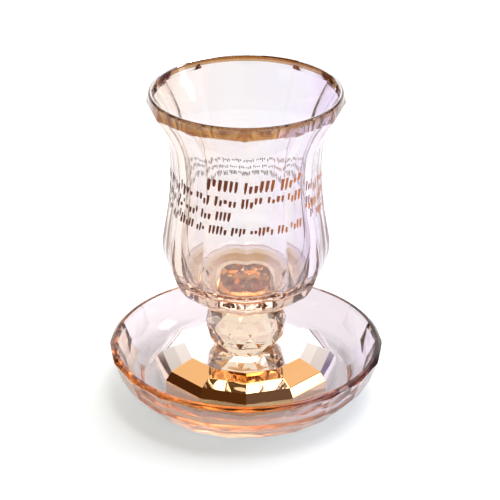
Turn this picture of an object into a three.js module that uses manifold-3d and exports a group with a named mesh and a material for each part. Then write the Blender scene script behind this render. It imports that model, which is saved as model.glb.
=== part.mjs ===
// Kiddush cup of cut crystal on its own cut dish. Millimetres, +Z up, z = 0 under the dish,
// the axis of the set at x = y = 0, and the printed side of the cup faces -Y.
import * as THREE from "three";
import { mergeVertices } from "three/addons/utils/BufferGeometryUtils.js";
import Module from "manifold-3d";

const wasm = await Module();
wasm.setup();

// Dish: two rows of large facets outside, smooth and round inside
const DISH_FACETS = 20;
const DISH_HEIGHT = 21.6;
const DISH_RIM_R = 58.9;
const DISH_BREAK_Z = 9.4;
const DISH_BREAK_R = 54.4;
const DISH_BASE_R = 45.6;
const DISH_BEVEL_R = 57.4;
const DISH_BEVEL_DROP = 2.2;
const DISH_BEVEL_OUT = 2.6;
const DISH_FLOOR_Z = 5.6;
const DISH_SEGMENTS = 80;
const DISH_INSIDE = [
  [42.0, DISH_FLOOR_Z],
  [44.6, 6.3],
  [47.4, 8.0],
  [50.2, 11.0],
  [52.6, 14.8],
  [54.4, 18.6],
  [55.2, 20.6],
  [56.0, DISH_HEIGHT],
];

// Foot: a twelve-sided disc with a stepped crown
const SIDES = 12;
const FOOT_UNDER_Z = DISH_FLOOR_Z;
const FOOT_EDGE = 0.7;
const FOOT_GIRDLE_R = 39.6;
const FOOT_GIRDLE_TOP = 12.5;
const FOOT_STEPS = [
  [36.7, 15.9],
  [31.5, 18.2],
  [26.3, 20.0],
];
const FOOT_TABLE_Z = 20.0;

// Ball: rows of triangular facets between two flats
const BALL_R = 17.4;
const BALL_HALF = 12.0;
const BALL_LATITUDES = [-22.5, 0, 22.5];
const BALL_TURN = 6;

// Bowl: twelve tall hollow-waisted panels outside, round inside
const BOWL_UNDER_Z = FOOT_TABLE_Z + 2 * BALL_HALF;
const BOWL_TURN = -0.8;
const BOWL_SEGMENTS = 48;
const RIM_EDGE_Z = 132.9;
const LIP_Z = 138.4;
const BOWL_OUTSIDE = [
  [19.0, BOWL_UNDER_Z],
  [22.4, 45.4],
  [27.4, 48.7],
  [30.1, 51.6],
  [32.3, 55.6],
  [34.1, 60.4],
  [35.2, 65.0],
  [35.4, 70.0],
  [34.5, 76.0],
  [32.8, 86.0],
  [31.8, 96.0],
  [31.5, 106.0],
  [32.3, 115.8],
  [33.8, 121.0],
  [35.8, 125.0],
  [38.2, 129.0],
  [41.0, RIM_EDGE_Z],
];
const BOWL_LIP = [
  [40.0, LIP_Z - 0.5],
  [39.5, LIP_Z],
  [38.6, LIP_Z],
  [38.1, LIP_Z - 0.5],
];
const BOWL_INSIDE = [
  [35.6, 132.9],
  [32.9, 128.0],
  [30.6, 122.6],
  [29.0, 116.0],
  [28.1, 106.0],
  [28.3, 96.0],
  [29.2, 86.0],
  [30.6, 77.0],
  [31.1, 71.0],
  [30.7, 66.0],
  [29.6, 61.5],
  [27.8, 57.9],
  [25.0, 55.7],
  [20.0, 54.8],
  [13.0, 54.5],
];
const BOWL_FLOOR_Z = 54.4;

const rad = THREE.MathUtils.degToRad;

// A profile of [radius, height] pairs turned round the z axis and closed on it.
// The first edge of the turning stands at -Y and "turn" moves it on, in degrees.
function turned(profile, segments, turn = 0) {
  const points = profile.map(([r, z]) => new THREE.Vector2(r, z));
  const geometry = new THREE.LatheGeometry(points, segments, rad(turn), 2 * Math.PI);
  geometry.rotateX(Math.PI / 2);
  return welded(geometry);
}

function welded(geometry) {
  geometry.deleteAttribute("normal");
  geometry.deleteAttribute("uv");
  return mergeVertices(geometry, 1e-4);
}

// Moves every vertex of a turned shape to a new radius and angle
function reshape(geometry, move) {
  const position = geometry.attributes.position;
  for (let i = 0; i < position.count; i++) {
    const x = position.getX(i);
    const y = position.getY(i);
    const radius = Math.hypot(x, y);
    if (radius < 1e-6) continue;
    const [r, angle] = move(radius, Math.atan2(x, -y), position.getZ(i));
    position.setXY(i, r * Math.sin(angle), -r * Math.cos(angle));
  }
  return geometry;
}

// Share of the corner radius that a regular polygon keeps at an angle from its corner
function panelShare(angle, sides) {
  const step = (2 * Math.PI) / sides;
  const fromMiddle = angle - step * Math.floor(angle / step) - step / 2;
  return Math.cos(step / 2) / Math.cos(fromMiddle);
}

function toSolid(geometry) {
  const mesh = new wasm.Mesh({
    numProp: 3,
    vertProperties: new Float32Array(geometry.attributes.position.array),
    triVerts: new Uint32Array(geometry.index.array),
  });
  return new wasm.Manifold(mesh);
}

function toGeometry(solid) {
  const mesh = solid.getMesh();
  const geometry = new THREE.BufferGeometry();
  geometry.setAttribute("position", new THREE.BufferAttribute(mesh.vertProperties, 3));
  geometry.setIndex(new THREE.BufferAttribute(mesh.triVerts, 1));
  return geometry;
}

// One row of facets as a closed cone of flat sides; radii are those of the flats
function facetRow(r0, z0, r1, z1, turn) {
  const slope = (r1 - r0) / (z1 - z0);
  const corner = 1 / Math.cos(Math.PI / DISH_FACETS);
  const at = (z) => [(r0 + slope * (z - z0)) * corner, z];
  const top = DISH_HEIGHT + 1;
  return turned([[0, 0], at(0), at(top), [0, top]], DISH_FACETS, turn);
}

function dishGeometry() {
  const step = 360 / DISH_FACETS;
  const upper = facetRow(DISH_BREAK_R, DISH_BREAK_Z, DISH_RIM_R, DISH_HEIGHT, 0);
  const lower = facetRow(DISH_BASE_R, 0, DISH_BREAK_R, DISH_BREAK_Z, step / 2);
  const far = DISH_RIM_R + 10;
  const bevelFoot = DISH_HEIGHT - DISH_BEVEL_DROP;
  const bevelled = turned(
    [
      [0, -1],
      [far, -1],
      [far, bevelFoot - 4],
      [DISH_BEVEL_R + DISH_BEVEL_OUT, bevelFoot],
      [DISH_BEVEL_R, DISH_HEIGHT],
      [0, DISH_HEIGHT],
    ],
    DISH_SEGMENTS,
  );
  const hollow = turned(
    [[0, DISH_FLOOR_Z], ...DISH_INSIDE, [56.0, DISH_HEIGHT + 2], [0, DISH_HEIGHT + 2]],
    DISH_SEGMENTS,
  );
  return toGeometry(
    toSolid(upper).intersect(toSolid(lower)).intersect(toSolid(bevelled)).subtract(toSolid(hollow)),
  );
}

function footGeometry() {
  return turned(
    [
      [0, FOOT_UNDER_Z],
      [FOOT_GIRDLE_R - FOOT_EDGE, FOOT_UNDER_Z],
      [FOOT_GIRDLE_R, FOOT_UNDER_Z + FOOT_EDGE],
      [FOOT_GIRDLE_R, FOOT_GIRDLE_TOP],
      ...FOOT_STEPS,
      [0, FOOT_TABLE_Z],
    ],
    SIDES,
  );
}

// Each row of corners is turned half a step on from the row under it
function ballGeometry() {
  const middle = FOOT_TABLE_Z + BALL_HALF;
  const flatR = Math.sqrt(BALL_R ** 2 - BALL_HALF ** 2);
  const rows = [
    [flatR, middle - BALL_HALF],
    ...BALL_LATITUDES.map((lat) => [BALL_R * Math.cos(rad(lat)), middle + BALL_R * Math.sin(rad(lat))]),
    [flatR, middle + BALL_HALF],
  ];
  const profile = [[0, middle - BALL_HALF], ...rows, [0, middle + BALL_HALF]];
  const rowAt = (z) => rows.findIndex((row) => Math.abs(row[1] - z) < 1e-3);
  return reshape(turned(profile, SIDES, BALL_TURN), (r, angle, z) => [
    r,
    angle + (rowAt(z) * Math.PI) / SIDES,
  ]);
}

function bowlGeometry() {
  const profile = [
    [0, BOWL_UNDER_Z],
    ...BOWL_OUTSIDE,
    ...BOWL_LIP,
    ...BOWL_INSIDE,
    [0, BOWL_FLOOR_Z],
  ];
  const outside = new Set(BOWL_OUTSIDE.map(([r, z]) => `${r.toFixed(2)} ${z.toFixed(2)}`));
  return reshape(turned(profile, BOWL_SEGMENTS, BOWL_TURN), (r, angle, z) => {
    const flat = outside.has(`${r.toFixed(2)} ${z.toFixed(2)}`);
    return [flat ? r * panelShare(angle - rad(BOWL_TURN), SIDES) : r, angle];
  });
}

function crystal(color) {
  return new THREE.MeshStandardMaterial({ color, roughness: 0.04, metalness: 0 });
}

const group = new THREE.Group();

function addPiece(name, geometry, color) {
  geometry.computeVertexNormals();
  const mesh = new THREE.Mesh(geometry, crystal(color));
  mesh.name = name;
  group.add(mesh);
}

addPiece("dish", dishGeometry(), 0xeedfe2);
addPiece("foot", footGeometry(), 0xdfb98c);
addPiece("knop_ball", ballGeometry(), 0xf1e2cf);
addPiece("bowl", bowlGeometry(), 0xeadce4);

export default group;
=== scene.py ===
# %% [markdown]
# # A cut-crystal kiddush cup on its dish
# The set is four blocks of polished crystal: a panelled bowl, a ball of small triangles, a gem-cut foot and
# a wide faceted dish. The imported model gives every size and place, so it is loaded first.

# %% Load the frame
import math
import random
import bpy
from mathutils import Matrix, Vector


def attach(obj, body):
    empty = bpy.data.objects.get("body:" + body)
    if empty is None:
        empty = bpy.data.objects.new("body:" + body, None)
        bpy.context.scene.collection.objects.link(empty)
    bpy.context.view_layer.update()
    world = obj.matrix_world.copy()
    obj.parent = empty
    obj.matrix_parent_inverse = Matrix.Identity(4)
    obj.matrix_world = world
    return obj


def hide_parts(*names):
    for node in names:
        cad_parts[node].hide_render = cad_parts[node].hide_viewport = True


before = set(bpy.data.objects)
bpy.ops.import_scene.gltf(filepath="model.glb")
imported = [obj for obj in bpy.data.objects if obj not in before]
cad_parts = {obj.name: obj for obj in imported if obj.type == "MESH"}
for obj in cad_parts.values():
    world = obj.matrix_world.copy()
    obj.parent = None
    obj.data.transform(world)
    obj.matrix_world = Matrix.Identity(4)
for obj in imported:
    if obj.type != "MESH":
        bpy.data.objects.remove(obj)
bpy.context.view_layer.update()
print("frame:", ", ".join(sorted(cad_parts)))


# %% [markdown]
# ## Small helpers
# An operator works on all that is selected, so each piece begins with nothing selected. Every piece is drawn
# at the world's origin with its place in its mesh, and then rides on the one body of the set.

# %% Helpers
def start_clean():
    if bpy.context.object and bpy.context.object.mode != "OBJECT":
        bpy.ops.object.mode_set(mode="OBJECT")
    bpy.ops.object.select_all(action="DESELECT")


def edit():
    bpy.ops.object.mode_set(mode="EDIT")
    bpy.ops.mesh.select_mode(type="VERT")
    bpy.ops.mesh.select_all(action="SELECT")


def name_piece(name):
    """Names the newest piece and puts its place into its mesh."""
    start_clean()
    piece = bpy.context.view_layer.objects.active
    piece.name = piece.data.name = name
    piece.select_set(True)
    bpy.ops.object.transform_apply(location=True, rotation=True, scale=True)
    return piece


start_clean()
print("selected to begin with:", len(bpy.context.selected_objects))

# %% [markdown]
# ## The bowl
# The real bowl is blown round and then ground outside into twelve tall flat panels, so it is round inside
# and straight from edge to edge outside. It could be a spun profile cut by planes, but a ring of twelve
# sides that is pulled up row by row keeps each panel exactly flat across. The profile is a list of radii and
# heights in mm, and a smooth curve through them gives the rows.

# %% Bowl profile
MM = 0.001
CURVE_STEPS = 4
BOWL_OUTSIDE = [
    (19.0, 44.0), (22.4, 45.4), (27.4, 48.7), (30.1, 51.6), (32.3, 55.6), (34.1, 60.4), (35.2, 65.0),
    (35.4, 70.0), (34.5, 76.0), (32.8, 86.0), (31.8, 96.0), (31.5, 106.0), (32.3, 115.8), (33.8, 121.0),
    (35.8, 125.0), (38.2, 129.0), (41.0, 132.9),
]
BOWL_LIP = [
    (40.0, 137.4), (39.8, 137.9), (39.5, 138.2), (39.15, 138.38), (38.85, 138.38), (38.55, 138.2),
    (38.3, 137.9), (38.2, 137.4),
]
BOWL_INSIDE = [
    (38.2, 137.4), (35.6, 132.9), (32.9, 128.0), (30.6, 122.6), (29.0, 116.0), (28.1, 106.0), (28.3, 96.0),
    (29.2, 86.0), (30.6, 77.0), (31.1, 71.0), (30.7, 66.0), (29.6, 61.5), (27.8, 57.9), (25.0, 55.7),
    (20.0, 54.8), (4.0, 54.4),
]


def smooth_profile(points):
    """A curve through the points, with CURVE_STEPS rows from each point to the next."""
    rows = []
    for i in range(len(points) - 1):
        a, b = points[max(i - 1, 0)], points[i]
        c, d = points[i + 1], points[min(i + 2, len(points) - 1)]
        for k in range(CURVE_STEPS):
            t = k / CURVE_STEPS
            rows.append(tuple(
                0.5 * (
                    2 * q + (r - p) * t + (2 * p - 5 * q + 4 * r - s) * t * t
                    + (3 * q - p - 3 * r + s) * t ** 3
                )
                for p, q, r, s in zip(a, b, c, d)
            ))
    return rows + [tuple(points[-1])]


bowl_rows = smooth_profile(BOWL_OUTSIDE)
print("bowl rows outside:", len(bowl_rows))

# %% Bowl outside
SIDES = 12
PANEL_POINTS = 8
BOWL_TURN = math.radians(-0.8)


def start_ring(name, rows, sides, fill="NOTHING", turn=0.0):
    """Draws the first ring of a profile and leaves all of it selected in edit mode."""
    start_clean()
    radius, height = rows[0]
    bpy.ops.mesh.primitive_circle_add(
        vertices=sides, radius=radius * MM, fill_type=fill,
        location=(0, 0, height * MM), rotation=(0, 0, turn),
    )
    piece = name_piece(name)
    edit()
    return piece


def pull_rows(rows):
    """Extrudes the selected ring from each radius and height to the next."""
    for was, now in zip(rows, rows[1:]):
        rise = (0, 0, (now[1] - was[1]) * MM)
        bpy.ops.mesh.extrude_region_move(TRANSFORM_OT_translate={"value": rise})
        size = now[0] / was[0]
        bpy.ops.transform.resize(value=(size, size, 1), center_override=(0, 0, now[1] * MM))


bowl = start_ring("bowl_cut", bowl_rows, SIDES, turn=BOWL_TURN)
bpy.ops.mesh.subdivide(number_cuts=PANEL_POINTS - 1)
pull_rows(bowl_rows)
print("bowl panels:", SIDES, "with", PANEL_POINTS, "points across each")

# %% [markdown]
# ## The rim and the inside of the bowl
# Twelve flat bevels are ground round the mouth. Their lower edges are straight like the panels, and their
# upper edge is the round lip. One row from the one to the other would have twisted faces, so the ring is
# rounded off a little in each of four rows. It then runs over the lip and down as the round inside. Rounding
# keeps a ring's mean radius, which is worked out first.

# %% Rim and inside
RIM_ROWS = 4
half_panel = math.pi / SIDES
panel_shares = [
    math.hypot(math.cos(half_panel), (2 * k / PANEL_POINTS - 1) * math.sin(half_panel))
    for k in range(PANEL_POINTS)
]
edge_r, edge_z = bowl_rows[-1][0] * sum(panel_shares) / PANEL_POINTS, bowl_rows[-1][1]
lip_r, lip_z = BOWL_LIP[0]
rim_rows = [
    (edge_r + (lip_r - edge_r) * k / RIM_ROWS, edge_z + (lip_z - edge_z) * k / RIM_ROWS)
    for k in range(RIM_ROWS + 1)
]
for k in range(RIM_ROWS):
    pull_rows(rim_rows[k:k + 2])
    bpy.ops.transform.tosphere(value=1 / (RIM_ROWS - k))
pull_rows(BOWL_LIP + smooth_profile(BOWL_INSIDE)[1:])
bpy.ops.mesh.extrude_region_move()
bpy.ops.mesh.merge(type="CENTER")
print("mean radius under the rim:", round(edge_r, 2), "mm")


# %% Bowl closed, with eased edges
def face_outwards():
    bpy.ops.mesh.select_all(action="SELECT")
    bpy.ops.mesh.normals_make_consistent(inside=False)


def ease_edges(width, sharper_than):
    """Grinds a narrow flat, in mm, along every edge that is sharper than an angle in degrees."""
    bpy.ops.mesh.select_mode(type="EDGE")
    bpy.ops.mesh.select_all(action="DESELECT")
    bpy.ops.mesh.edges_select_sharp(sharpness=math.radians(sharper_than))
    bpy.ops.mesh.bevel(offset=width * MM, segments=1, affect="EDGES")
    bpy.ops.mesh.region_to_loop()
    bpy.ops.mesh.mark_sharp()
    start_clean()


def report(piece):
    print(f"{piece.name}: {len(piece.data.vertices)} vertices, {len(piece.data.polygons)} faces")


bpy.ops.mesh.select_all(action="DESELECT")
bpy.ops.mesh.select_non_manifold()
bpy.ops.mesh.edge_face_add()
face_outwards()
ease_edges(width=0.3, sharper_than=19)
report(bowl)

# %% [markdown]
# ## The inscription
# The real cup carries four rows of writing in copper foil, which run from the front right round to the back.
# Here each row keeps its place, height and density, and leaning ticks stand for the writing. Text objects
# could fill the rows, but the ticks mustn't be letters, so one tick is modelled, with its lower end drawn in
# as a pen stroke is, and copied.

# %% One tick
LOW_END = -0.5
LOW_WIDTH = 0.55
start_clean()
bpy.ops.mesh.primitive_plane_add(size=MM)
tick = name_piece("tick")
edit()
bpy.ops.mesh.subdivide(number_cuts=2)
bpy.ops.mesh.select_all(action="DESELECT")
start_clean()
for point in tick.data.vertices:
    point.select = point.co.y < 0.8 * LOW_END * MM
bpy.ops.object.mode_set(mode="EDIT")
bpy.ops.transform.resize(value=(LOW_WIDTH, 1, 1), center_override=(0, LOW_END * MM, 0))
start_clean()
report(tick)

# %% Rows of ticks
# The ticks start at this radius in mm, before they are laid on the panels
CUP_R = 31.9
LEAN = math.radians(9)
# Lower and upper line in mm, then the first and the last angle from the front in degrees
INSCRIPTION_ROWS = [
    (106.0, 111.2, 46, -12),
    (99.5, 103.8, 46, -296),
    (93.2, 97.2, -12, -296),
    (87.2, 90.9, 46, -296),
]
# Lower end, upper end and width of a tick, and then the gaps, all as shares of the row's height
TICK_KINDS = [(0.0, 1.0, 0.26), (0.0, 1.0, 0.26), (0.36, 1.0, 0.28), (0.0, 0.64, 0.28), (0.3, 0.7, 0.30)]
TICK_GAP, GROUP_GAP = 0.17, 0.38
GROUP_SIZES = (3, 6)
WIDTH_SPREAD = (0.9, 1.15)
chance = random.Random(5)


def put_tick(angle, low, high, width):
    """Copies the tick on to the cup, at an angle from the front in degrees and between two heights in mm."""
    start_clean()
    bpy.context.view_layer.objects.active = tick
    tick.select_set(True)
    bpy.ops.object.duplicate()
    copy = bpy.context.object
    turn = math.radians(angle)
    copy.location = (CUP_R * MM * math.sin(turn), -CUP_R * MM * math.cos(turn), (low + high) / 2 * MM)
    copy.rotation_euler = (math.pi / 2, LEAN, turn)
    copy.scale = (width, high - low, 1)
    return copy


ticks = []
degree = math.degrees(1 / CUP_R)
for low, high, start, end in INSCRIPTION_ROWS:
    tall = high - low
    angle = start
    while angle > end:
        for _ in range(chance.randint(*GROUP_SIZES)):
            low_share, high_share, width_share = chance.choice(TICK_KINDS)
            width = tall * width_share * chance.uniform(*WIDTH_SPREAD)
            angle -= width * degree / 2
            ticks.append(put_tick(angle, low + low_share * tall, low + high_share * tall, width))
            angle -= (width / 2 + tall * TICK_GAP) * degree
        angle -= tall * GROUP_GAP * degree
print("ticks:", len(ticks))

# %% Ticks as foil on the panels
FOIL, FOIL_LIFT = 0.05, 0.02


def apply_modifier(piece, kind, **settings):
    modifier = piece.modifiers.new(kind, kind)
    for key, value in settings.items():
        setattr(modifier, key, value)
    bpy.context.view_layer.objects.active = piece
    bpy.ops.object.modifier_apply(modifier=modifier.name)


bpy.data.objects.remove(tick)
start_clean()
for copy in ticks:
    copy.select_set(True)
bpy.context.view_layer.objects.active = ticks[0]
bpy.ops.object.join()
strokes = name_piece("inscription_strokes")
apply_modifier(
    strokes, "SHRINKWRAP", target=bowl, wrap_method="NEAREST_SURFACEPOINT", wrap_mode="ABOVE_SURFACE",
    offset=FOIL_LIFT * MM,
)
apply_modifier(strokes, "SOLIDIFY", thickness=FOIL * MM, offset=1.0)
report(strokes)

# %% [markdown]
# ## The ball
# The knop is a ball ground with rows of triangles. Each row of corners stands half a step on from the row
# below. Blender's own spheres have other rows, but a convex hull over rings of corners gives just those
# triangles. The two flats reach a hair into the bowl and the foot, because the real pieces are bonded there
# with clear cement and light passes straight through.

# %% Ball
BALL_R, BALL_MIDDLE, BALL_HALF, BOND = 17.4, 32.0, 12.0, 0.03
BALL_LATITUDES = (-22.5, 0.0, 22.5)
BALL_TURN, HALF_STEP = 6, 15
flat_r = math.sqrt(BALL_R ** 2 - BALL_HALF ** 2)
ball_rows = [(flat_r, -BALL_HALF - BOND)]
for latitude in BALL_LATITUDES:
    angle = math.radians(latitude)
    ball_rows.append((BALL_R * math.cos(angle), BALL_R * math.sin(angle)))
ball_rows.append((flat_r, BALL_HALF + BOND))
start_clean()
for i, (radius, height) in enumerate(ball_rows):
    bpy.ops.mesh.primitive_circle_add(
        vertices=SIDES, radius=radius * MM, location=(0, 0, (BALL_MIDDLE + height) * MM),
        rotation=(0, 0, math.radians(BALL_TURN + HALF_STEP * (i % 2))),
    )
    if i == 0:
        ball = name_piece("ball_cut")
        edit()
bpy.ops.mesh.select_all(action="SELECT")
bpy.ops.mesh.convex_hull(join_triangles=False)
print("rows of corners on the ball:", len(ball_rows))

# %% Ball edges
BALL_EDGE = 0.12
SAME_FACE = math.radians(1)
bpy.ops.mesh.select_all(action="SELECT")
bpy.ops.mesh.dissolve_limited(angle_limit=SAME_FACE)
bpy.ops.mesh.select_all(action="SELECT")
bpy.ops.mesh.bevel(offset=BALL_EDGE * MM, segments=1, affect="EDGES")
face_outwards()
start_clean()
report(ball)

# %% [markdown]
# ## The foot
# The foot is a heavy twelve-sided disc whose crown steps in to a flat table in three rows of facets. It could
# be a cylinder cut by a plane for each facet, but a filled ring of twelve sides, pulled up and narrowed at
# each step, has them all at once. A fine bevel gives its edges the line of light that ground edges have.

# %% Foot
# The first row is a hair above the floor of the dish, so that no two faces lie in one plane
FOOT_ROWS = [(38.9, 5.66), (39.6, 6.3), (39.6, 12.5), (36.7, 15.9), (31.5, 18.2), (26.3, 20.0)]
FOOT_EDGE = 0.15
foot = start_ring("foot_cut", FOOT_ROWS, SIDES, fill="NGON")
pull_rows(FOOT_ROWS)
face_outwards()
bpy.ops.mesh.bevel(offset=FOOT_EDGE * MM, segments=1, affect="EDGES")
start_clean()
report(foot)

# %% [markdown]
# ## The dish
# Outside, the dish has two rows of big facets, the lower row half a step on from the upper one, so their
# border runs in a zigzag. A ring that is pulled up can't have such a border, but two cones of twenty sides
# do: what they have in common is the cut block. A round cone bevels the rim, and a turned plug hollows the
# dish out.

# %% Dish
DISH_SIDES, ROUND_SIDES = 20, 160
DISH_TOP, DISH_R = 21.6, 58.9
BREAK_R, BREAK_Z = 54.4, 9.4
BASE_R = 45.6
BEVEL_R, BEVEL_SLOPE = 57.4, 1.182
OVERRUN = 2


def cone(sides, low, high, top, turn=0.0):
    start_clean()
    bpy.ops.mesh.primitive_cone_add(
        vertices=sides, radius1=low * MM, radius2=high * MM, depth=top * MM,
        location=(0, 0, top * MM / 2), rotation=(0, 0, turn),
    )
    return name_piece("cutter")


def facet_cone(r_low, z_low, r_high, z_high, turn):
    """A cone of flat sides through two radii of the flats, each at its height."""
    slope = (r_high - r_low) / (z_high - z_low)
    corner = 1 / math.cos(math.pi / DISH_SIDES)
    top = DISH_TOP + OVERRUN
    low, high = r_low - slope * z_low, r_low + slope * (top - z_low)
    return cone(DISH_SIDES, low * corner, high * corner, top, turn)


def cut(piece, cutter, operation):
    apply_modifier(piece, "BOOLEAN", object=cutter, operation=operation, solver="EXACT")
    bpy.data.objects.remove(cutter)


dish = facet_cone(BREAK_R, BREAK_Z, DISH_R, DISH_TOP, 0.0)
dish.name = dish.data.name = "dish_cut"
cut(dish, facet_cone(BASE_R, 0.0, BREAK_R, BREAK_Z, math.pi / DISH_SIDES), "INTERSECT")
edit()
ease_edges(width=0.4, sharper_than=8)
cut(dish, cone(ROUND_SIDES, BEVEL_R + DISH_TOP * BEVEL_SLOPE, BEVEL_R, DISH_TOP), "INTERSECT")
report(dish)

# %% Dish inside
FLOOR_RING = (30.0, 5.6)
DISH_INSIDE = [
    (42.0, 5.6), (44.6, 6.3), (47.4, 8.0), (50.2, 11.0), (52.6, 14.8), (54.4, 18.6), (55.2, 20.6),
    (56.72, 22.5),
]
PLUG_TOP = (57.5, 23.6)
plug_rows = [FLOOR_RING] + smooth_profile(DISH_INSIDE) + [PLUG_TOP]
plug = start_ring("plug", plug_rows, ROUND_SIDES, fill="NGON")
pull_rows(plug_rows)
face_outwards()
start_clean()
cut(dish, plug, "DIFFERENCE")
report(dish)


# %% [markdown]
# ## Colours and nodes
# Colours are written as the sRGB codes that a colour picker shows, and the shaders want linear light, so one
# function turns them. Another adds a node with its settings and links.

# %% Node helpers
def linear(code):
    """An sRGB hex colour as linear numbers with alpha."""
    parts = [int(code[i:i + 2], 16) / 255 for i in (1, 3, 5)]
    return tuple(c / 12.92 if c <= 0.04045 else ((c + 0.055) / 1.055) ** 2.4 for c in parts) + (1.0,)


def add(tree, kind, settings=(), links=()):
    """Adds a node. A setting is a socket's value, by name or number, a ramp's stops, or the node's own."""
    node = tree.nodes.new(kind)
    for key, value in dict(settings).items():
        if key == "stops":
            points = node.color_ramp.elements
            points[0].position, points[-1].position = value[0][0], value[-1][0]
            for place, _ in value[1:-1]:
                points.new(place)
            for point, (_, code) in zip(points, value):
                point.color = linear(code)
        elif isinstance(key, int) or key in node.inputs:
            node.inputs[key].default_value = value
        else:
            setattr(node, key, value)
    for key, source in dict(links).items():
        tree.links.new(source, node.inputs[key])
    return node


def empty_material(name):
    material = bpy.data.materials.new(name)
    material.use_nodes = True
    material.node_tree.nodes.clear()
    return material, material.node_tree


print("middle grey as linear light:", round(linear("#808080")[0], 3))

# %% [markdown]
# ## Crystal
# Cut crystal is polished, so it has almost no roughness. Glass of one colour would look even all over, but
# here a thin lustre tints it, and the tint turns from warm at the left to lilac at the right, a painted
# reflection of the room. Light that runs a long way inside the wall turns amber, which an absorbing volume
# does by itself. Hand polishing leaves the facets very slightly wavy, and this makes the reflections look
# alive. Rims and edges have their own tints: those on the rims, the bowl's side edges and the dish's wall are
# painted reflections, and the bowl's back is a painted shade. Each is chosen by where a point lies, so the
# mesh needs no seams.

# %% Places on the crystal
CLOUD = 14.0
CLOUD_LOW, CLOUD_HIGH = 0.25, 0.75


def along(tree, where, axis, reach, wander):
    """How far a point lies along an axis, as 0 to 1 from -reach to reach in mm, with a cloudy border."""
    split = add(tree, "ShaderNodeSeparateXYZ", links={"Vector": where})
    cloud = add(tree, "ShaderNodeTexNoise", {"Scale": 1 / (CLOUD * MM), "Detail": 2.0}, {"Vector": where})
    shift = add(
        tree, "ShaderNodeMapRange",
        {"From Min": CLOUD_LOW, "From Max": CLOUD_HIGH, "To Min": -wander * MM, "To Max": wander * MM},
        {"Value": cloud.outputs["Fac"]},
    )
    moved = add(tree, "ShaderNodeMath", links={0: split.outputs[axis], 1: shift.outputs["Result"]})
    share = add(
        tree, "ShaderNodeMapRange", {"From Min": -reach * MM, "From Max": reach * MM},
        {"Value": moved.outputs[0]},
    )
    return share.outputs["Result"]


def strip_mask(tree, where, outside, above, below, back):
    """1 on the strip that lies outside a radius, between two heights and in front of a depth, all in mm."""
    flat = add(tree, "ShaderNodeVectorMath", {"operation": "MULTIPLY", 1: (1, 1, 0)}, {0: where})
    radius = add(tree, "ShaderNodeVectorMath", {"operation": "LENGTH"}, {0: flat.outputs[0]})
    split = add(tree, "ShaderNodeSeparateXYZ", links={"Vector": where})
    limits = [
        (radius.outputs["Value"], "GREATER_THAN", outside),
        (split.outputs["Z"], "GREATER_THAN", above),
        (split.outputs["Z"], "LESS_THAN", below),
        (split.outputs["Y"], "LESS_THAN", back),
    ]
    parts = [
        add(tree, "ShaderNodeMath", {"operation": side, 1: limit * MM}, {0: value}).outputs[0]
        for value, side, limit in limits
    ]
    mask = parts[0]
    for part in parts[1:]:
        mask = add(tree, "ShaderNodeMath", {"operation": "MULTIPLY"}, {0: mask, 1: part}).outputs[0]
    return mask


print("clouds in the lustre:", CLOUD, "mm")

# %% Crystal of the ball
# Speckles of this size, in mm, mottle the painted reflections on the rims
SPOT = 2.6
SPECKLED_REFLECTION_TINT = [(0.40, "#cc9858"), (0.56, "#ffffff")]
WANDER = 4.0


def crystal(name, stops, reach, amber, density, wave=9.0, depth=0.012, strips=()):
    """Lustred crystal: tint stops from left to right, amber inside, waves of a length and depth in mm. The turn
    of the tint from warm at the left to lilac at the right is a painted reflection of the room.

    Each strip has its place for strip_mask, its own tint stops and how much it is mottled; most strips are
    painted reflections on the rims and wall, or the painted shade on the bowl's back.
    """
    material, tree = empty_material(name)
    where = add(tree, "ShaderNodeTexCoord").outputs["Object"]
    across = along(tree, where, "X", reach, WANDER)
    tint = add(tree, "ShaderNodeValToRGB", {"stops": stops}, {"Fac": across}).outputs["Color"]
    spots = add(tree, "ShaderNodeTexNoise", {"Scale": 1 / (SPOT * MM), "Detail": 3.0}, {"Vector": where})
    for place, strip_stops, mottle in strips:
        plain = add(tree, "ShaderNodeValToRGB", {"stops": strip_stops}, {"Fac": across})
        spotted = add(tree, "ShaderNodeValToRGB", {"stops": SPECKLED_REFLECTION_TINT}, {"Fac": spots.outputs["Fac"]})
        mottled = add(
            tree, "ShaderNodeMixRGB", {"blend_type": "MULTIPLY", "Fac": mottle},
            {"Color1": plain.outputs["Color"], "Color2": spotted.outputs["Color"]},
        )
        mask = strip_mask(tree, where, *place)
        mixed = add(
            tree, "ShaderNodeMixRGB",
            links={"Fac": mask, "Color1": tint, "Color2": mottled.outputs["Color"]},
        )
        tint = mixed.outputs["Color"]
    water = add(tree, "ShaderNodeTexNoise", {"Scale": 1 / (wave * MM), "Detail": 1.0}, {"Vector": where})
    waves = add(
        tree, "ShaderNodeBump", {"Strength": 1.0, "Distance": depth * MM}, {"Height": water.outputs["Fac"]}
    )
    shader = add(
        tree, "ShaderNodeBsdfPrincipled", {"Roughness": 0.0, "IOR": 1.54, "Transmission Weight": 1.0},
        {"Base Color": tint, "Normal": waves.outputs["Normal"]},
    )
    inside = add(tree, "ShaderNodeVolumeAbsorption", {"Color": linear(amber), "Density": density})
    add(tree, "ShaderNodeOutputMaterial", links={"Surface": shader.outputs[0], "Volume": inside.outputs[0]})
    return material


BALL_TINT = [(0.2, "#fcf3e2"), (0.8, "#faf1e8")]
# Cream crystal whose triangles each show one soft tone
ball_crystal = crystal("lustred crystal, cream", BALL_TINT, reach=18, amber="#f9d8a8", density=12.0)
print("crystal:", ball_crystal.name)
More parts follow.
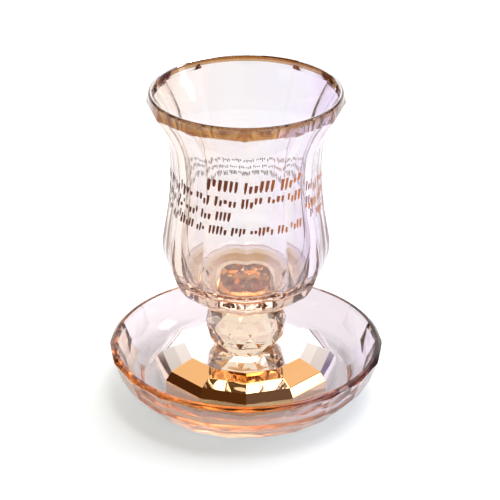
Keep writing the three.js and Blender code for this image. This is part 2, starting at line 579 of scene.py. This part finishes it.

# %% Crystal of the bowl
# Painted reflection on the rim bevels: mottled brown where the rim mirrors the brown room, lilac at the right
BOWL_RIM_PAINTED_REFLECTION = [
    (0.0, "#8e4a0e"), (0.3, "#9a5410"), (0.64, "#b2681a"), (0.70, "#bfaac6"), (0.90, "#b6a0be"),
    (0.94, "#84440f"),
]
# Painted reflection: a dark brown line along the top of the lip
BOWL_LIP_PAINTED_REFLECTION = [(0.0, "#8f6238"), (0.5, "#9c6634"), (1.0, "#8c5e42")]
BOWL_BASE = [(0.25, "#ecd4a2"), (0.40, "#ecd4a4"), (0.55, "#dfb878"), (0.72, "#f0dcbc")]
BOWL_EDGE = [(0.25, "#d6b492"), (0.42, "#b06c24"), (0.58, "#b06c24"), (0.75, "#d0b098")]
# Painted reflection of the room: warm strips at the bowl's left edge and lilac ones at its right
BOWL_LEFT_PAINTED_REFLECTION = [(0.08, "#e8d8ce"), (0.15, "#ede3de")]
BOWL_RIGHT_PAINTED_REFLECTION = [(0.85, "#e6dfee"), (0.92, "#dccfe8")]
BOWL_FRONT = BOWL_LEFT_PAINTED_REFLECTION + [(0.3, "#fbf8f8"), (0.5, "#fefdfe"), (0.7, "#fcfafe")] + BOWL_RIGHT_PAINTED_REFLECTION
# Painted shade: the back half is a shade darker than the front
BOWL_BACK_PAINTED_SHADE = BOWL_LEFT_PAINTED_REFLECTION + [(0.3, "#e6e0e1"), (0.5, "#e3e0e3"), (0.7, "#e1dee6")] + BOWL_RIGHT_PAINTED_REFLECTION
# Pale crystal with a gold bottom and painted reflections: warm at its left edge, lilac at its right and brown
# on its rim. Its back is a painted shade deeper than its front, so that the inside shows against white paper.
bowl_crystal = crystal(
    "lustred crystal, rose to lilac", BOWL_BACK_PAINTED_SHADE, reach=41, amber="#f4b96c", density=11.0,
    # A place is a radius to lie outside, two heights to lie between and a depth to lie in front of
    strips=[
        ((0.0, 48.8, 140.0, 0.0), BOWL_FRONT, 0.0),
        ((39.0, 133.2, 140.0, 12.0), BOWL_RIM_PAINTED_REFLECTION, 0.7),
        ((37.4, 136.2, 140.0, 50.0), BOWL_LIP_PAINTED_REFLECTION, 0.3),
        ((0.0, 40.0, 48.8, 50.0), BOWL_BASE, 0.0),
        ((16.0, 40.0, 46.2, 50.0), BOWL_EDGE, 0.0),
    ],
)
print("crystal:", bowl_crystal.name)

# %% Crystal of the dish
# Pale rose lustre that turns a deeper lilac at the right, a painted reflection of the lilac room
DISH_TINT_AND_PAINTED_REFLECTION = [(0.08, "#f0e7ee"), (0.45, "#e8e1e6"), (0.9, "#dfd8e0")]
# Painted reflection on the rim: orange at the left and in front, lilac, and dark plum at the right
DISH_RIM_PAINTED_REFLECTION = [(0.0, "#e89c4a"), (0.58, "#f4b058"), (0.74, "#b898bc"), (1.0, "#4e3050")]
# Painted reflection on the wall, in two bands: salmon at the left turning lilac at the right
DISH_WALL_PAINTED_REFLECTION = [(0.0, "#f0c8ae"), (0.55, "#ffdcc8"), (0.78, "#f0e4f2"), (1.0, "#ddd0ea")]
DISH_LOW_WALL_PAINTED_REFLECTION = [(0.0, "#eac6ae"), (0.55, "#f2d0bc"), (0.78, "#e8d8ea"), (1.0, "#d6c8e4")]
# Pale crystal, wavy enough to streak its wall, with painted reflections: salmon to lilac on its wall, and a rim
# that is orange at the left and in front and plum at the right
dish_crystal = crystal(
    "lustred crystal, rose and lilac, painted reflections", DISH_TINT_AND_PAINTED_REFLECTION, reach=58, amber="#f8c27c", density=16.0,
    wave=7.0, depth=0.045,
    strips=[
        ((55.9, 20.4, 22.0, 60.0), DISH_RIM_PAINTED_REFLECTION, 0.4),
        ((55.3, 11.9, 20.4, 15.0), DISH_WALL_PAINTED_REFLECTION, 0.0),
        ((51.0, -1.0, 11.9, 15.0), DISH_LOW_WALL_PAINTED_REFLECTION, 0.0),
    ],
)
print("crystal:", dish_crystal.name)

# %% [markdown]
# ## Mirror lustre on the foot
# The foot doesn't let light through: a thin metal film on its facets makes each one a mirror, so the table
# shows the ball upside down. Such a film is gold seen face on and white at a slant. A tinted mirror gives the
# first alone, so the tint here follows the angle of the face, as a film's colour does.

# %% Mirror lustre
FILM = [
    (0.0, "#e4b276"), (0.08, "#dcbc8e"), (0.19, "#dcbc8e"), (0.24, "#efb87c"), (0.36, "#efb87c"),
    (0.50, "#fdfafa"), (1.0, "#ffffff"),
]
# A clean mirror on every facet, champagne gold face on and silver at a slant
mirror_lustre, tree = empty_material("crystal with a champagne mirror lustre")
slant = add(tree, "ShaderNodeLayerWeight", {"Blend": 0.5})
film = add(tree, "ShaderNodeValToRGB", {"stops": FILM}, {"Fac": slant.outputs["Facing"]})
shader = add(
    tree, "ShaderNodeBsdfPrincipled", {"Metallic": 1.0, "Roughness": 0.015},
    {"Base Color": film.outputs["Color"]},
)
add(tree, "ShaderNodeOutputMaterial", links={"Surface": shader.outputs[0]})
print("colours of the film:", len(FILM))

# %% [markdown]
# ## Copper foil
# The rows are hot-stamped copper foil, with painted light on it: painted shade, nearly brown, at the left and
# in front, and a painted copper highlight at the right. It could be a plain metal, but a stamp leaves a fine
# grain, which breaks up its reflections.

# %% Copper foil
# The real grain is finer than this, but it would not show
GRAIN, PIT = 0.4, 0.02
FOIL_REACH, FOIL_WANDER = 32, 5.0
FOIL_PAINTED_LIGHT = [(0.0, "#5a3020"), (0.55, "#74391f"), (0.85, "#c47848")]
# Satin copper with painted light: a dark brown painted shade at the left and in front, and a painted copper
# highlight at the right
copper, tree = empty_material("copper foil, hot stamped")
where = add(tree, "ShaderNodeTexCoord").outputs["Object"]
across = along(tree, where, "X", FOIL_REACH, FOIL_WANDER)
tone = add(tree, "ShaderNodeValToRGB", {"stops": FOIL_PAINTED_LIGHT}, {"Fac": across})
grain = add(tree, "ShaderNodeTexNoise", {"Scale": 1 / (GRAIN * MM), "Detail": 2.0}, {"Vector": where})
pits = add(tree, "ShaderNodeBump", {"Strength": 0.4, "Distance": PIT * MM}, {"Height": grain.outputs["Fac"]})
shader = add(
    tree, "ShaderNodeBsdfPrincipled", {"Metallic": 0.8, "Roughness": 0.35},
    {"Base Color": tone.outputs["Color"], "Normal": pits.outputs["Normal"]},
)
add(tree, "ShaderNodeOutputMaterial", links={"Surface": shader.outputs[0]})
strokes.data.materials.append(copper)
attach(strokes, "root")
print("foil on", strokes.name)


# %% [markdown]
# ## Finishes on the pieces
# Each piece takes its crystal and stands for its solid in the frame. Long curves are shaded smooth and ground
# edges stay sharp, which an angle tells apart.

# %% Finishes
def give(piece, node, material, smooth=None):
    """Finishes a piece. Edges that turn by less than the angle smooth, in degrees, don't show."""
    start_clean()
    piece.data.materials.clear()
    piece.data.materials.append(material)
    bpy.context.view_layer.objects.active = piece
    piece.select_set(True)
    if smooth:
        bpy.ops.object.shade_smooth_by_angle(angle=math.radians(smooth))
    else:
        bpy.ops.object.shade_flat()
    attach(piece, "root")
    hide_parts(node)


give(bowl, "bowl", bowl_crystal, smooth=14)
give(ball, "knop_ball", ball_crystal)
give(foot, "foot", mirror_lustre)
give(dish, "dish", dish_crystal, smooth=7)
print("finished:", bowl.name, ball.name, foot.name, dish.name)

# %% [markdown]
# ## The floor
# The ground of the photo is a sheet of white paper without an edge, so a wide plane does. Clear crystal lets
# light through into its own shadow, which would take very many samples to follow, so the paper gives a little
# light itself.

# %% Floor
FLOOR_SIZE, FLOOR_DROP = 8.0, 0.0001
start_clean()
bpy.ops.mesh.primitive_plane_add(size=FLOOR_SIZE, location=(0, 0, -FLOOR_DROP))
floor = name_piece("floor")
# Matt white that lightens its own shadows
paper, tree = empty_material("white paper sweep")
shader = add(tree, "ShaderNodeBsdfPrincipled", {
    "Base Color": linear("#f4f4f5"), "Roughness": 0.9,
    "Emission Color": linear("#e0f0f0"), "Emission Strength": 0.50,
})
add(tree, "ShaderNodeOutputMaterial", links={"Surface": shader.outputs[0]})
floor.data.materials.append(paper)
print("floor:", paper.name)

# %% [markdown]
# ## The light
# Crystal shows what stands round it, so the room matters as much as the lamps. It is white behind, brown at
# the left and in front, and lilac at the right, and these three draw the lines along the panels. Each large
# facet of the foot mirrors one soft box: those at the back turn the crown gold, and the one at the right
# makes a white facet.

# %% Room
ROOM = [(0.0, "#4c3222"), (0.58, "#6c4c2a"), (0.72, "#7c6c72"), (1.0, "#968cae")]
WHITE_FROM, WHITE_TO = 0.66, 0.80
world = bpy.data.worlds.new("studio")
bpy.context.scene.world = world
world.use_nodes = True
tree = world.node_tree
tree.nodes.clear()
where = add(tree, "ShaderNodeTexCoord").outputs["Generated"]
split = add(tree, "ShaderNodeSeparateXYZ", links={"Vector": where})
across = add(tree, "ShaderNodeMapRange", {"From Min": -1.0, "From Max": 1.0}, {"Value": split.outputs["X"]})
room = add(tree, "ShaderNodeValToRGB", {"stops": ROOM}, {"Fac": across.outputs["Result"]})
depth = add(
    tree, "ShaderNodeMapRange",
    {"From Min": WHITE_FROM, "From Max": WHITE_TO, "interpolation_type": "SMOOTHSTEP"},
    {"Value": split.outputs["Y"]},
)
tone = add(
    tree, "ShaderNodeMixRGB", {"Color2": linear("#ffffff")},
    {"Fac": depth.outputs["Result"], "Color1": room.outputs["Color"]},
)
sky = add(tree, "ShaderNodeBackground", {"Strength": 1.05}, {"Color": tone.outputs["Color"]})
add(tree, "ShaderNodeOutputWorld", links={"Surface": sky.outputs[0]})
print("room:", world.name)

# %% Soft boxes
# Width, height, power, place and the height on the cup's axis that the box is turned to, in metres and watts
SOFT_BOXES = {
    "top box": (1.5, 1.5, 36.0, (0.55, 0.45, 2.5), 0.03),
    "back box": (1.6, 1.6, 13.0, (0.0, 1.8, 2.1), 0.03),
    "back left box": (1.2, 1.2, 4.4, (-1.1, 1.4, 2.0), 0.03),
    "back right box": (1.4, 1.4, 5.6, (1.35, 1.5, 2.2), 0.03),
    "right box": (0.6, 0.7, 5.2, (1.9, 0.15, 1.3), 0.06),
    "front card": (0.36, 0.3, 0.5, (-0.22, -0.80, 1.20), 0.02),
}
for name, (width, height, power, place, aim_z) in SOFT_BOXES.items():
    start_clean()
    bpy.ops.object.light_add(type="AREA", location=place)
    lamp = bpy.context.object
    lamp.name = name
    lamp.data.shape = "RECTANGLE"
    lamp.data.size, lamp.data.size_y = width, height
    lamp.data.energy = power
    toward = Vector((0, 0, aim_z)) - Vector(place)
    lamp.rotation_euler = toward.to_track_quat("-Z", "Y").to_euler()
print("soft boxes:", len(SOFT_BOXES))

# %% [markdown]
# ## The camera
# The ellipses of the mouth and the dish tell how steeply the photo looks down, and their sizes tell the
# distance, so both were fitted to it. Light turns many times inside cut crystal before it comes out, so its
# paths may be long.

# %% Camera
# The angle above the horizon, then the distance and the height of the point looked at, in metres
ELEVATION, DISTANCE, AIM_Z = math.radians(26.947), 0.837227, 0.0651
FRAME_PX, FOCAL_PX, SHIFT_PX = 500.0, 1973.0, 4.0
SENSOR = 36.0
start_clean()
bpy.ops.object.camera_add(
    location=(0, -DISTANCE * math.cos(ELEVATION), AIM_Z + DISTANCE * math.sin(ELEVATION)),
    rotation=(math.pi / 2 - ELEVATION, 0, 0),
)
camera = bpy.context.object
camera.data.sensor_width = SENSOR
camera.data.lens = FOCAL_PX * SENSOR / FRAME_PX
camera.data.shift_x = SHIFT_PX / FRAME_PX
bpy.context.scene.camera = camera
bpy.context.scene.view_settings.view_transform = "Standard"
bpy.context.scene.cycles.max_bounces = 24
bpy.context.scene.cycles.transmission_bounces = 24
bpy.context.scene.cycles.glossy_bounces = 16
print("camera:", round(camera.data.lens, 1), "mm")

# %% [markdown]
# ## The end
# Nothing is left selected when the script ends.

# %% Finish
start_clean()
